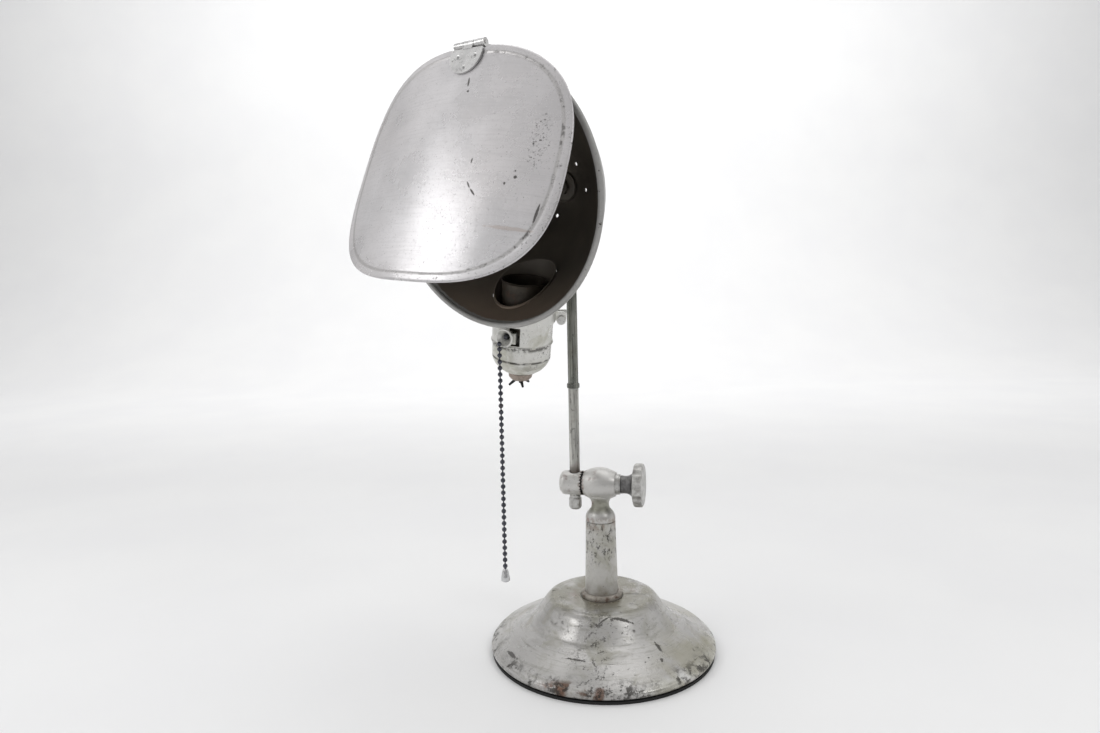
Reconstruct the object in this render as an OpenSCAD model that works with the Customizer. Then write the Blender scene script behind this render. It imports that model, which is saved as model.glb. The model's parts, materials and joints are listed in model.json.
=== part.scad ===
// Examination lamp on a round weighted base: swivel clamp, sliding rod, tilting bowl,
// pull-chain lampholder and a hinged front flap. Millimetres, +Z up, base centre at the origin.

/* [Base and post] */
// radius of the round base
base_r = 76.2; // [60:0.1:90]
// height of the rolled skirt round the base
skirt_h = 6.8; // [4:0.1:10]
// radius of the rolled edge round the skirt
roll_r = 2.5; // [1.5:0.1:3]
// height of the flat seat under the post
seat_h = 35.7; // [28:0.1:45]
// sheet thickness of the base cover
cover_t = 1.6; // [1:0.1:3]
// height of the post's top edge
post_top = 87.6; // [70:0.1:110]
// radius of the post at its foot
post_r1 = 11.4; // [9:0.1:14]
// radius of the post at its top
post_r2 = 10.1; // [8:0.1:13]

/* [Clamp] */
// height of the clamp's cross axis
clamp_z = 112.8; // [100:0.1:130]
// radius of the rod barrel
barrel_r = 8.25; // [7:0.05:11]
// how far the rod stands left of the post's axis
rod_x = -17.3; // [-25:0.1:-14]
// radius of the knob's disc
knob_r = 14.5; // [10:0.1:20]

/* [Rod] */
// radius of the rod
rod_r = 3.5; // [2.5:0.05:5]
// height of the joint ring between lower and upper rod
ring_z = 177.9; // [150:0.1:200]
// height of the tilt screw at the rod's top
tilt_z = 312.3; // [280:0.1:340]

/* [Bowl] */
// outer radius of the bowl without its bead
bowl_r = 75; // [60:0.1:90]
// depth of the bowl
bowl_d = 79; // [60:0.1:95]
// sheet thickness of the bowl
bowl_t = 1.1; // [0.8:0.05:2]
// turn of the bowl about the rod
bowl_turn = -21.2; // [-60:0.1:60]
// downward tilt of the bowl
bowl_tilt = 11.3; // [0:0.1:18]
// spin of the bowl on its stud
bowl_spin = 10.5; // [-20:0.1:30]

/* [Flap] */
// width of the flap across its chord
flap_w = 146; // [120:0.5:160]
// length of the flap from its top edge
flap_l = 131.2; // [110:0.5:145]
// radius of the flap's cylindrical curve
flap_curve = 192; // [120:1:400]
// opening angle of the flap from the rim
flap_open = 29.3; // [22:0.1:100]

/* [Socket and chain] */
// outer radius of the lampholder's shell
shell_r = 19.3; // [17:0.1:22]
// inner radius of the screw shell that takes the lamp
lamp_r = 13.3; // [13:0.05:14]
// centre distance of the chain's beads
bead_pitch = 3.88; // [3:0.01:5]
// radius of one chain bead
bead_r = 1.5; // [1:0.05:2.4]

/* [Hidden] */
$fn = 48;
e = 0.01;
bead_n = 36;
plunge = bowl_d / (bowl_r * bowl_r - 90.25);
lamp_out = lamp_r + 0.7;
flap_half = flap_w / 2;

// ---------- placement of each group ----------
module at_clamp() {
  translate([0, 0, clamp_z]) rotate([0, 90, 0]) children();
}

module at_bracket() {
  translate([rod_x, 0, tilt_z])
    rotate([0, 0, bowl_turn])
      rotate([bowl_tilt, 0, 0])
        children();
}

module at_bowl() {
  at_bracket() translate([3, 0, 0]) rotate([0, bowl_spin, 0]) children();
}

module at_socket() {
  at_bowl() translate([0, -56, -92.7]) rotate([0, 3.2, 0]) children();
}

module at_mouth() {
  at_socket() rotate([0, 0, -81.5]) translate([0, 0, 8]) rotate([0, 90, 0]) children();
}

module at_hinge() {
  at_bowl() rotate([0, -6.4, 0]) translate([0, -89.5, 78.8]) children();
}

module at_flap() {
  at_hinge() rotate([0, 1.8, 0]) rotate([-flap_open, 0, 0]) children();
}

module tube(ro, ri, h) {
  difference() {
    cylinder(r = ro, h = h);
    translate([0, 0, -1]) cylinder(r = ri, h = h + 2);
  }
}

module hexagon(flats, h) {
  cylinder(r = flats / sqrt(3), h = h, $fn = 6);
}

// ---------- base ----------
// height of the base's outer face at radius r: a convex flange, then a steep shoulder
function ramp(t) = t * t * (3 - 2 * t);
function limit(t) = max(0, min(1, t));
function flange_z(r) = skirt_h + 13.6 * (1 - pow(limit((r - 46) / (base_r - 46)), 1.35));
function dome_z(r) = (seat_h + 0.7 - skirt_h - 13.6) * ramp(limit((50 - r) / 16));
function dish_z(r) = 0.7 * limit((31 - r) / 16);
function base_z(r) = flange_z(r) + dome_z(r) - dish_z(r);

module base_shell() {
  outer = [for (k = [0 : 21]) let (r = 15 + (base_r - 18.4) * k / 21) [r, base_z(r)]];
  bead = [for (a = [70 : -15 : -65]) [base_r - roll_r + roll_r * cos(a), 4.5 + roll_r * sin(a)]];
  inner = [for (k = [14 : -1 : 0]) let (r = 15 + (base_r - 18.8) * k / 14) [r, base_z(r) - cover_t]];
  color("silver")
    rotate_extrude($fn = 96)
      polygon(concat([[4.1, seat_h]], outer, bead,
        [[base_r - 1.9, 1.8], [base_r - 3.6, 1.8], [base_r - 3.6, skirt_h - 0.2]],
        inner, [[4.1, seat_h - cover_t]]));
}

module base_weight() {
  color("dimgray")
    rotate_extrude($fn = 96)
      polygon([[4.1, 10], [9.6, 10], [9.6, 3], [68, 3], [68, 8.2], [45, 16.5],
        [30, 30.5], [24, seat_h - cover_t], [4.1, seat_h - cover_t]]);
}

module base_pad() {
  color("black") cylinder(r = base_r - 0.7, h = 1.75, $fn = 96);
}

// ---------- post ----------
module post_tube() {
  color("silver")
    rotate_extrude()
      polygon([[8.8, seat_h], [post_r1, seat_h], [11.0, 48], [post_r2, post_top - 0.4],
        [post_r2 - 0.4, post_top], [8.8, post_top]]);
}

module foot_ring() {
  color("sienna")
    rotate_extrude()
      polygon([[post_r1 + 0.05, seat_h], [14, seat_h], [14, seat_h + 1.2],
        [13.3, seat_h + 2.6], [12.3, seat_h + 3.3], [post_r1 + 0.05, seat_h + 3.3]]);
}

module tie_rod() {
  color("gray") translate([0, 0, 2.4]) cylinder(r = 3.6, h = 72.5);
}

module tie_washer() {
  color("gray") translate([0, 0, 8.7]) tube(9, 3.65, 1.3);
}

module tie_nut() {
  color("gray")
    difference() {
      translate([0, 0, 3.4]) hexagon(13, 5.3);
      translate([0, 0, 2]) cylinder(r = 3.62, h = 9);
    }
}

// plug in the post's top with the pivot pin that the head turns on
module post_spigot() {
  color("gray")
    difference() {
      union() {
        translate([0, 0, 66]) cylinder(r = 8.75, h = post_top - 66);
        translate([0, 0, post_top - 1]) cylinder(r = 4, h = 10.4);
      }
      translate([0, 0, 65]) cylinder(r = 3.62, h = 10.5);
    }
}

// ---------- swivel head ----------
function cheek_r(x) = 11.2 - 3.2 * pow(x / 11, 2);

// radial teeth on a face at height z, on the clamp's axis
module serration(z, far) {
  for (k = [0 : 23])
    rotate([0, 0, 15 * k + 4])
      translate([(7.05 + far) / 2, 0, z])
        scale([1, 1, 1.24])
          rotate([45, 0, 0])
            cube([far - 7.05, 1.2, 1.2], center = true);
}

module swivel_head() {
  cheeks = [for (k = [0 : 12]) let (x = -10.6 + 21.6 * k / 12) [cheek_r(x), x]];
  color("silver")
    difference() {
      union() {
        rotate_extrude()
          polygon([[0, post_top + 0.2], [post_r2 - 0.3, post_top + 0.2],
            [post_r2, post_top + 0.7], [post_r2, 90.2], [9.7, 92], [8.8, 93.8], [7.3, 95.4],
            [6.3, 96.6], [5.9, 98.4], [6.0, 100.4], [6.7, 102.2], [8.4, 104.4],
            [8.4, 108], [0, 108]]);
        at_clamp() rotate_extrude() polygon(concat([[0, -10.6]], cheeks, [[0, 11]]));
        at_clamp()
          intersection() {
            serration(-10.6, 9);
            translate([0, 0, -12.4]) cylinder(r = 8.2, h = 3.6);
          }
      }
      at_clamp() translate([0, 0, -13]) cylinder(r = 3.1, h = 26);
      translate([0, 0, 80]) cylinder(r = 4.06, h = 18);
    }
}

module clamp_washer() {
  color("silver")
    at_clamp()
      translate([0, 0, 11])
        difference() {
          union() {
            cylinder(r = 6.95, h = 2.6);
            cylinder(r = 6.3, h = 3.45);
          }
          translate([0, 0, -1]) cylinder(r = 3.1, h = 6);
        }
}

// ---------- barrel, draw bolt and knob ----------
module clamp_barrel() {
  color("silver")
    difference() {
      union() {
        at_clamp()
          rotate_extrude()
            polygon([[0, -27.4], [4.4, -27.4], [5.8, -27.1], [7.0, -26.3], [7.9, -25.1],
              [barrel_r, -23.7], [barrel_r, -12], [0, -12]]);
      }
      at_clamp() serration(-12, 9);
      at_clamp() translate([0, 0, -24.2]) cylinder(r = 5.95, h = 20);
      translate([rod_x, 0, clamp_z - 20]) cylinder(r = 4.05, h = 40);
    }
}

// eye bolt: the knob draws its eye, and the rod in it, against the barrel
module draw_bolt() {
  color("gray")
    difference() {
      union() {
        at_clamp() translate([0, 0, -23.9]) cylinder(r = 5.9, h = 11.2);
        at_clamp() translate([0, 0, -13]) cylinder(r = 3, h = 36);
      }
      translate([rod_x, 0, clamp_z - 20]) cylinder(r = rod_r + 0.05, h = 40);
    }
}

module clamp_knob() {
  color("gray")
    at_clamp()
      difference() {
        rotate_extrude($fn = 72)
          polygon([[3.06, 14.6], [5.7, 14.6], [6.1, 15], [5.9, 16.6], [5.9, 18.4], [6.4, 20],
            [7.4, 21.6], [9, 22.8], [11.4, 23.4], [13.6, 23.5], [14.2, 23.9], [knob_r, 24.6],
            [knob_r, 28.4], [14.2, 29.2], [13.2, 29.7], [8, 30.3], [0, 30.5], [0, 24.4],
            [3.06, 24.4]]);
        for (k = [0 : 9])
          rotate([0, 0, 36 * k + 8])
            translate([knob_r + 3.6, 0, 20])
              cylinder(r = 4.6, h = 12);
      }
}

// ---------- rod ----------
module lower_rod() {
  color("gray")
    translate([rod_x, 0, 0]) {
      translate([0, 0, 97]) cylinder(r = rod_r, h = ring_z - 97);
      translate([0, 0, ring_z - 1]) cylinder(r = 2.15, h = 24);
    }
}

module joint_ring() {
  color("silver")
    translate([rod_x, 0, ring_z])
      rotate_extrude()
        polygon([[2.16, 0], [3.9, 0], [4.3, 0.5], [4.3, 2.9], [3.9, 3.4], [2.16, 3.4]]);
}

module rod_end_cap() {
  color("gray")
    translate([rod_x, 0, 0])
      rotate_extrude()
        polygon([[0, 94.7], [2.6, 94.7], [3.7, 95.3], [4.4, 96.6], [4.4, 101.8], [4.1, 102.7],
          [3.75, 103], [3.75, 104.25], [rod_r + 0.02, 104.25], [rod_r + 0.02, 96.98], [0, 96.98]]);
}

module upper_rod() {
  color("darkslategray")
    translate([rod_x, 0, 0])
      difference() {
        translate([0, 0, ring_z + 3.55]) cylinder(r = rod_r, h = 299 - ring_z - 3.55);
        translate([0, 0, ring_z]) cylinder(r = 2.2, h = 26);
        translate([0, 0, 292]) cylinder(r = 2.5, h = 10);
      }
}

// flat tongue plugged into the rod's top, with the eye for the tilt screw
module rod_eye() {
  color("gray")
    translate([rod_x, 0, tilt_z])
      rotate([0, 0, bowl_turn])
        difference() {
          union() {
            rotate([0, 90, 0]) translate([0, 0, -1.5]) cylinder(r = 4.4, h = 3);
            translate([-1.5, -rod_r, -13.2]) cube([3, 2 * rod_r, 13.2]);
            translate([0, 0, -20]) cylinder(r = 2.48, h = 7);
          }
          rotate([0, 90, 0]) translate([0, 0, -3]) cylinder(r = 2.05, h = 6);
        }
}

// ---------- bracket ----------
module tilt_screw() {
  color("gray")
    at_bracket()
      rotate([0, 90, 0]) {
        translate([0, 0, -1.7]) cylinder(r = 2, h = 9.4);
        translate([0, 0, -4]) cylinder(r = 3.9, h = 2.4);
      }
}

module tilt_nut() {
  color("gray")
    at_bracket()
      rotate([0, 90, 0])
        translate([0, 0, 4.5])
          difference() {
            hexagon(7.4, 2.8);
            translate([0, 0, -1]) cylinder(r = 2.02, h = 6);
          }
}

module bowl_bracket() {
  color("gray")
    at_bracket()
      difference() {
        union() {
          rotate([0, 90, 0]) translate([0, 0, 1.62]) cylinder(r = 4.8, h = 2.84);
          translate([1.62, -7, -4]) cube([2.84, 7, 8]);
          translate([3, -6.6, 0]) rotate([90, 0, 0]) cylinder(r = 5.6, h = 2.25);
        }
        rotate([0, 90, 0]) translate([0, 0, -3]) cylinder(r = 2.02, h = 12);
        translate([3, -4.5, 0]) rotate([90, 0, 0]) cylinder(r = 1.32, h = 8);
      }
}

// stud that the bowl turns on, screwed into the bracket
module bowl_stud() {
  color("gray")
    at_bowl()
      rotate([90, 0, 0]) {
        translate([0, 0, 4.6]) cylinder(r = 1.3, h = 4.3);
        translate([0, 0, 8.85]) cylinder(r = 2.4, h = 7);
      }
}

module stud_nut() {
  color("gray")
    at_bowl()
      rotate([90, 0, 0])
        translate([0, 0, 11.6])
          difference() {
            hexagon(8, 3);
            translate([0, 0, -1]) cylinder(r = 2.42, h = 6);
          }
}

module dished_washer() {
  color("gray")
    at_bowl()
      rotate([90, 0, 0])
        rotate_extrude()
          polygon([[2.6, 10.15], [8.8, 10.15], [9.5, 11.4], [9.2, 11.9], [8.4, 11.2],
            [6, 11.45], [2.6, 11.45]]);
}

// ---------- bowl ----------
// axial depth of the bowl's outer face at radius r, flat over the seat at its middle
function sink(r) = plunge * max(0, r * r - 90.25);
function slope(r) = r > 9.5 ? 2 * plunge * r : 0;
function run(r) = sqrt(1 + slope(r) * slope(r));
function wall(r, t) = [r - t * slope(r) / run(r), 9 + sink(r) + t / run(r)];

module bowl_form(t, out) {
  rotate_extrude($fn = 96)
    polygon(concat([[0, 9 + t]],
      [for (k = [0 : 16]) wall(9.5 + (bowl_r - 9.5) * k / 16, t)],
      [[out, 150], [0, 150]]));
}

module bowl_shell() {
  outer = [for (k = [0 : 20]) wall(9.5 + (bowl_r - 10) * k / 20, 0)];
  inner = [for (k = [20 : -1 : 0]) wall(9.5 + (bowl_r - 10) * k / 20, bowl_t)];
  color("silver")
    difference() {
      union() {
        at_bowl()
          rotate([90, 0, 0])
            rotate_extrude($fn = 96)
              polygon(concat([[2.5, 9]], outer, inner, [[2.5, 9 + bowl_t]]));
        at_bowl()
          rotate([90, 0, 0])
            translate([0, 0, 88])
              rotate_extrude($fn = 96)
                translate([bowl_r - 0.5, 0])
                  circle(r = 1.7, $fn = 20);
      }
      for (a = [35, 91, 190])
        at_bowl()
          rotate([0, a, 0])
            translate([0, 0, 18.5])
              rotate([90, 0, 0])
                cylinder(r = 1.15, h = 30);
      at_socket() translate([0, 0, -5]) cylinder(r = shell_r + 0.15, h = 56);
      at_rivet(-5.5) translate([0, 0, -5]) cylinder(r = 1.25, h = 10);
      at_rivet(5.5) translate([0, 0, -5]) cylinder(r = 1.25, h = 10);
    }
}

// ---------- lampholder ----------
module socket_shell() {
  color("silver")
    difference() {
      at_socket()
        rotate_extrude()
          polygon([[shell_r - 0.8, 0], [shell_r + 0.35, 0], [shell_r + 0.6, 0.4],
            [shell_r + 0.5, 1.1], [shell_r, 1.6], [shell_r, 54], [shell_r - 0.8, 54]]);
      at_bowl() rotate([90, 0, 0]) bowl_form(bowl_t + 1, bowl_r - 2);
      at_mouth() translate([0, 0, 12]) cylinder(r = 3.3, h = 12);
      at_socket()
        rotate([0, 0, -68])
          translate([12, -3.4, 2])
            cube([12, 6.8, 11.6]);
    }
}

module socket_liner() {
  color("saddlebrown")
    difference() {
      at_socket() translate([0, 0, -3.5]) tube(shell_r - 0.9, shell_r - 1.9, 25);
      at_mouth() translate([0, 0, 12]) cylinder(r = 5, h = 12);
      at_socket()
        rotate([0, 0, -68])
          translate([12, -4.4, -0.6])
            cube([12, 8.8, 15.4]);
    }
}

module socket_cap() {
  color("gray")
    at_socket()
      rotate_extrude()
        polygon([[shell_r - 0.3, -0.12], [shell_r - 0.3, -9], [shell_r - 0.8, -9.5],
          [shell_r - 0.4, -10.1], [18.4, -12.2], [16.9, -15], [14.4, -17.8], [11.3, -20],
          [8.2, -21.2], [7.05, -21.4], [7.05, -20.4], [8, -20.2], [10.8, -19.1], [13.8, -17.1],
          [16.1, -14.6], [17.5, -12], [17.8, -10], [shell_r - 0.86, -3.6], [shell_r - 0.86, -0.12]]);
}

module cap_bushing() {
  color("rosybrown")
    at_socket()
      rotate_extrude()
        polygon([[5, -26.2], [6.4, -26.2], [7.6, -24.8], [8.1, -21.6], [7, -21.45], [7, -19.2],
          [5, -19.2]]);
}

// three cut wire ends in the bushing
module wire_stubs() {
  color("black")
    at_socket() {
      for (k = [0 : 2])
        rotate([0, 0, 120 * k - 40])
          translate([2.6, 0, 0]) {
            translate([0, 0, -28.4]) cylinder(r = 1.5, h = 18.3, $fn = 16);
            translate([0, 0, -27.2])
              rotate([0, 112 + 13 * k, 0])
                cylinder(r1 = 1.1, r2 = 0.75, h = 5.8 + 0.6 * k, $fn = 16);
          }
    }
}

module lamp_holder() {
  color("dimgray")
    at_socket()
      rotate_extrude()
        polygon([[0, -7.5], [15.5, -7.5], [16.9, -6], [16.9, -1], [15.4, 1.4], [15.4, 5.5],
          [14.6, 6.9], [0, 6.9]]);
}

module screw_shell() {
  color("goldenrod")
    at_socket()
      rotate_extrude()
        polygon([[5.5, 7], [lamp_out, 7], [lamp_out, 38.6], [lamp_out + 0.6, 39.4],
          [lamp_out + 0.2, 40], [lamp_r, 39.2], [lamp_r, 7.7], [5.5, 7.7]]);
}

module centre_contact() {
  color("goldenrod")
    at_socket()
      translate([0, 0, 6.9])
        rotate_extrude()
          polygon([[0, 0], [4.2, 0], [4.2, 0.35], [3.4, 0.6], [0, 0.7]]);
}

// pinch ring under the bowl, with its two screw lugs
module neck_collar() {
  color("lightgray")
    at_socket()
      difference() {
        union() {
          translate([0, 0, 14.5]) cylinder(r = 20.7, h = 6.8);
          rotate([0, 0, 35.5]) {
            translate([19.9, -3.2, 15.2]) cube([7.4, 6.4, 5.9]);
            translate([24.2, 3, 15.4]) rotate([90, 0, 0]) cylinder(r = 2.95, h = 6);
          }
        }
        translate([0, 0, 10]) cylinder(r = shell_r + 0.06, h = 20);
        rotate([0, 0, 35.5]) translate([17, -1, 9]) cube([14, 2, 16]);
        rotate([0, 0, 35.5]) translate([24.2, 6, 16.2]) rotate([90, 0, 0]) cylinder(r = 1.42, h = 12);
      }
}

module collar_screw() {
  color("gray")
    at_socket()
      rotate([0, 0, 35.5])
        translate([24.2, 0, 16.2])
          rotate([90, 0, 0]) {
            translate([0, 0, -4.6]) cylinder(r = 1.4, h = 7.9);
            translate([0, 0, 3.24]) cylinder(r = 2.6, h = 1.8);
          }
}

// flared guide that the chain leaves the shell through
module bell_mouth() {
  color("silver")
    at_mouth()
      rotate_extrude()
        polygon([[2.1, 17.2], [3.2, 17.2], [3.2, 19.8], [3.7, 21], [5, 22.2], [6, 23.1],
          [6.1, 23.8], [5.6, 24.2], [4.9, 24.1], [4.1, 23], [3, 21.6], [2.1, 20.4]]);
}

module switch_block() {
  color("lightgray")
    difference() {
      at_socket()
        rotate([0, 0, -68])
          translate([15.8, -2.8, 3.2])
            cube([3.3, 3.6, 6.8]);
      at_mouth() translate([0, 0, 12]) cylinder(r = 3.4, h = 12);
    }
}

// ---------- chain ----------
module beads(n, pitch) {
  for (k = [0 : n - 1])
    translate([0, 0, k * pitch]) sphere(r = bead_r, $fn = 16);
  if (n > 1)
    cylinder(r = 0.45, h = (n - 1) * pitch, $fn = 12);
}

module chain_lead() {
  color("gray")
    at_mouth() {
      translate([0, 0, 17.48]) beads(2, bead_pitch);
      translate([0, 0, 15.7]) cylinder(r = 0.45, h = 1.8, $fn = 12);
    }
}

module chain_link() {
  color("gray") translate([-50.4, -54.9, 210.6]) sphere(r = bead_r, $fn = 16);
}

module ball_chain() {
  color("gray")
    translate([-50.4, -54.9, 207.4 - (bead_n - 1) * bead_pitch])
      beads(bead_n, bead_pitch);
}

module bell_pull() {
  color("gray")
    translate([-50.4, -54.9, 61.9])
      rotate_extrude($fn = 32)
        polygon([[0, 0], [2.2, 0], [2.75, 0.6], [2.7, 2.6], [2.3, 4.6], [1.9, 6.6], [1.1, 7.9],
          [0.7, 8.15], [0, 8.15]]);
}

// ---------- hinge ----------
// places a rivet square to the bowl's sheet, on the leaf behind the rim
module at_rivet(x) {
  at_hinge()
    translate([x, 13.6, -9.35])
      rotate([-28.2, 0, 0])
        children();
}

module knuckles(x0, x1) {
  translate([x0, 0, 0]) rotate([0, 90, 0]) cylinder(r = 2.2, h = x1 - x0);
}

module hinge_leaf_bowl() {
  color("gray")
    difference() {
      union() {
        at_hinge() knuckles(-10.5, -3.7);
        at_hinge() knuckles(3.7, 10.5);
        at_hinge()
          translate([-10.5, 0, 0])
            rotate([90, 0, 90])
              linear_extrude(21)
                polygon([[2.9, -1.9], [4.2, -1.85], [18.6, -10.1], [18.9, -9.3], [4.4, -0.95],
                  [2.9, -0.9]]);
        for (x = [-10.5, 3.7])
          at_hinge() translate([x, 0, -1.9]) cube([6.8, 3.2, 1]);
      }
      at_hinge() translate([-12, 0, 0]) rotate([0, 90, 0]) cylinder(r = 0.92, h = 24);
      at_rivet(-5.5) translate([0, 0, -5]) cylinder(r = 1.25, h = 10);
      at_rivet(5.5) translate([0, 0, -5]) cylinder(r = 1.25, h = 10);
    }
}

module hinge_pin() {
  color("gray") at_hinge() translate([-11, 0, 0]) rotate([0, 90, 0]) cylinder(r = 0.9, h = 22);
}

module bowl_rivets() {
  color("silver")
    for (x = [-5.5, 5.5])
      at_rivet(x) {
        translate([0, 0, -2.4]) cylinder(r = 1.2, h = 5.4);
        translate([0, 0, 2.82]) cylinder(r1 = 2, r2 = 1.3, h = 0.8);
      }
}

// ---------- flap ----------
// signed power, for the flap's squared-oval outline
function spow(v, p) = sign(v) * pow(abs(v), p);

module outline(edge) {
  polygon([for (k = [0 : 71])
    let (a = 5 * k, u = spow(cos(a), 2 / 2.79), v = spow(sin(a), 2 / 2.79))
      [-1.1 + (flap_half - edge) * u * (1 - 0.02 * v), -1.4 - flap_l / 2
        + (flap_l / 2 - edge) * v]]);
}

module flap_sheet(edge, front, back) {
  intersection() {
    translate([0, 30, 0]) rotate([90, 0, 0]) linear_extrude(36) outline(edge);
    translate([0, flap_curve, -flap_l - 4])
      tube(flap_curve + front, flap_curve - back, flap_l + 8, $fn = 180);
  }
}

module flap_plate() {
  color("silver")
    difference() {
      at_flap()
        union() {
          flap_sheet(0, 0.6, 0.6);
          difference() {
            flap_sheet(0, 1.05, 0.5);
            translate([0, 30, 0]) rotate([90, 0, 0]) linear_extrude(36) outline(4.6);
          }
        }
      at_hinge() translate([-11.4, 0, 0]) rotate([0, 90, 0]) cylinder(r = 2.5, h = 22.8);
      at_flap()
        for (p = [[-6, -8], [6, -8], [0, -14.4]])
          translate([p[0], 3, p[1]]) rotate([90, 0, 0]) cylinder(r = 1.05, h = 6);
      at_flap() translate([-11, -5, -9]) cube([22, 4.35, 8]);
    }
}

module hinge_leaf_flap() {
  color("gray")
    difference() {
      union() {
        at_hinge() knuckles(-3.4, 3.4);
        at_flap() {
          translate([-3.3, -1.9, -3]) cube([6.6, 1, 3]);
          difference() {
            translate([0, -0.68, -6.6]) rotate([90, 0, 0]) cylinder(r = 11, h = 1);
            translate([-13, -6, -3.2]) cube([26, 12, 12]);
          }
          translate([-3.3, -1.9, -3.4]) cube([6.6, 1.2, 1.2]);
        }
      }
      at_hinge() translate([-5, 0, 0]) rotate([0, 90, 0]) cylinder(r = 0.95, h = 10);
      at_flap()
        for (p = [[-6, -8], [6, -8], [0, -14.4]])
          translate([p[0], 3, p[1]]) rotate([90, 0, 0]) cylinder(r = 1.05, h = 6);
    }
}

module flap_rivets() {
  color("silver")
    at_flap()
      for (p = [[-6, -8], [6, -8], [0, -14.4]])
        translate([p[0], 0, p[1]])
          rotate([90, 0, 0]) {
            translate([0, 0, -1.3]) cylinder(r = 1, h = 3.1);
            translate([0, 0, 1.7]) cylinder(r1 = 1.9, r2 = 1.1, h = 0.75);
          }
}

base_shell();
base_weight();
base_pad();
post_tube();
foot_ring();
tie_rod();
tie_washer();
tie_nut();
post_spigot();
swivel_head();
clamp_barrel();
draw_bolt();
clamp_washer();
clamp_knob();
lower_rod();
joint_ring();
rod_end_cap();
upper_rod();
rod_eye();
tilt_screw();
tilt_nut();
bowl_bracket();
bowl_stud();
stud_nut();
dished_washer();
bowl_shell();
neck_collar();
collar_screw();
socket_shell();
socket_liner();
socket_cap();
cap_bushing();
wire_stubs();
lamp_holder();
screw_shell();
centre_contact();
bell_mouth();
switch_block();
chain_lead();
chain_link();
ball_chain();
bell_pull();
hinge_leaf_bowl();
hinge_pin();
bowl_rivets();
flap_plate();
hinge_leaf_flap();
flap_rivets();
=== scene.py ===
# Examination lamp: materials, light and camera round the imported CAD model. Lengths are in metres.
import json
import math

import bmesh
import bpy
from mathutils import Matrix, Vector, noise


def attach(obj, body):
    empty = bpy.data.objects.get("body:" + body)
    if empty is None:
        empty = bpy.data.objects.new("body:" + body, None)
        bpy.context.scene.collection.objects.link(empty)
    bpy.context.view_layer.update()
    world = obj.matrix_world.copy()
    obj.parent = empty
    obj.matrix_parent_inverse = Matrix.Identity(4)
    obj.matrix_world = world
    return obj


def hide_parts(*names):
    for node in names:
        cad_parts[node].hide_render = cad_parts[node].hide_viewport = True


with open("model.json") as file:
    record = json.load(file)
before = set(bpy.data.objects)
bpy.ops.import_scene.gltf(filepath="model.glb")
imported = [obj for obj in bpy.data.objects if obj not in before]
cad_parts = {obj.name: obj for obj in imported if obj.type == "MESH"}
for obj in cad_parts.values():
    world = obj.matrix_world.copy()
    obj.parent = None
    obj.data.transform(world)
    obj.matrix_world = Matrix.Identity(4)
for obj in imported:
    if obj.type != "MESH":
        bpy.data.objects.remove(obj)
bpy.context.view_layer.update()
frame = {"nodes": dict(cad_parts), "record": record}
NODES = frame["nodes"]
JOINTS = {j["name"]: j for j in frame["record"]["behaviour"]["joints"]}
MOUNTS = {m["name"]: m for m in frame["record"]["mounts"]}


def point(joint):
    return Vector(JOINTS[joint]["pos_m"])


def axis(joint):
    return Vector(JOINTS[joint]["axis"]).normalized()


# ---------- places taken from the frame ----------
ORIGIN, X, Y, Z = (0, 0, 0), (1, 0, 0), (0, 1, 0), (0, 0, 1)
KNOB_X, CLAMP_Z = JOINTS["knob_turn"]["pos_m"][0], JOINTS["knob_turn"]["pos_m"][2]
CLAMP_AT = (0, 0, CLAMP_Z)  # the clamp's cross axis over the post
HEAD_Z = JOINTS["head_swivel"]["pos_m"][2]  # where the head stands on the post
BOWL_SEAT, BOWL_AXIS = point("bowl_spin"), axis("bowl_spin")
HOLDER_AT = Vector(MOUNTS["lamp_socket"]["pos_m"])
HOLDER_AXIS = Vector(MOUNTS["lamp_socket"]["axis"]).normalized()
HINGE, HINGE_X = point("flap_swing"), -axis("flap_swing")

TEETH_X = -0.012  # middle of the toothed joint between head and barrel

# the bowl's outer face: a flat seat, then a depth that grows with the square of the radius
BOWL_R, BOWL_DEPTH, BOWL_FLAT_R = 0.075, 0.079, 0.0095
BEAD_DEPTH, BEAD_R = 0.0768, 0.0733  # where its bead starts, from the seat and from the axis
SHELL_SEAM, CAP_CREASE = -0.0235, -0.0330  # along the holder's axis, from its mount

# the flap's outline is a superellipse round FLAP_X, FLAP_Z, measured from the hinge on the sheet
FLAP_HALF, FLAP_LENGTH, FLAP_POWER = 0.073, 0.1312, 2.79
FLAP_X, FLAP_TOP = -0.0011, -0.0014
FLAP_Z = FLAP_TOP - FLAP_LENGTH / 2
FLAP_CURVE = 0.192  # radius that the sheet is bent to
FLAP_TILT, FLAP_OPENING = 1.8, 29.3  # degrees, against the bowl's mouth
HALF_SHEET = 0.0006

# the flap's own directions: across it, through it towards the bowl, and up it
hinge_frame = Matrix((HINGE_X, -BOWL_AXIS, HINGE_X.cross(-BOWL_AXIS))).transposed()
tilted = Matrix.Rotation(math.radians(FLAP_TILT), 3, "Y")
opened = Matrix.Rotation(math.radians(-FLAP_OPENING), 3, "X")
FLAP_FRAME = hinge_frame @ tilted @ opened
FLAP_SIDE, FLAP_UP = FLAP_FRAME.col[0].copy(), FLAP_FRAME.col[2].copy()


# ---------- camera, at the photograph's angle ----------
CAMERA_AT = (0.0900, -0.4603, 0.2277)
CAMERA_HEADING, CAMERA_DOWN, CAMERA_ROLL = 15, 4.22, -1.23  # degrees
SENSOR_WIDTH, LENS = 36, 22.9091  # millimetres, as Blender has them

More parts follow.
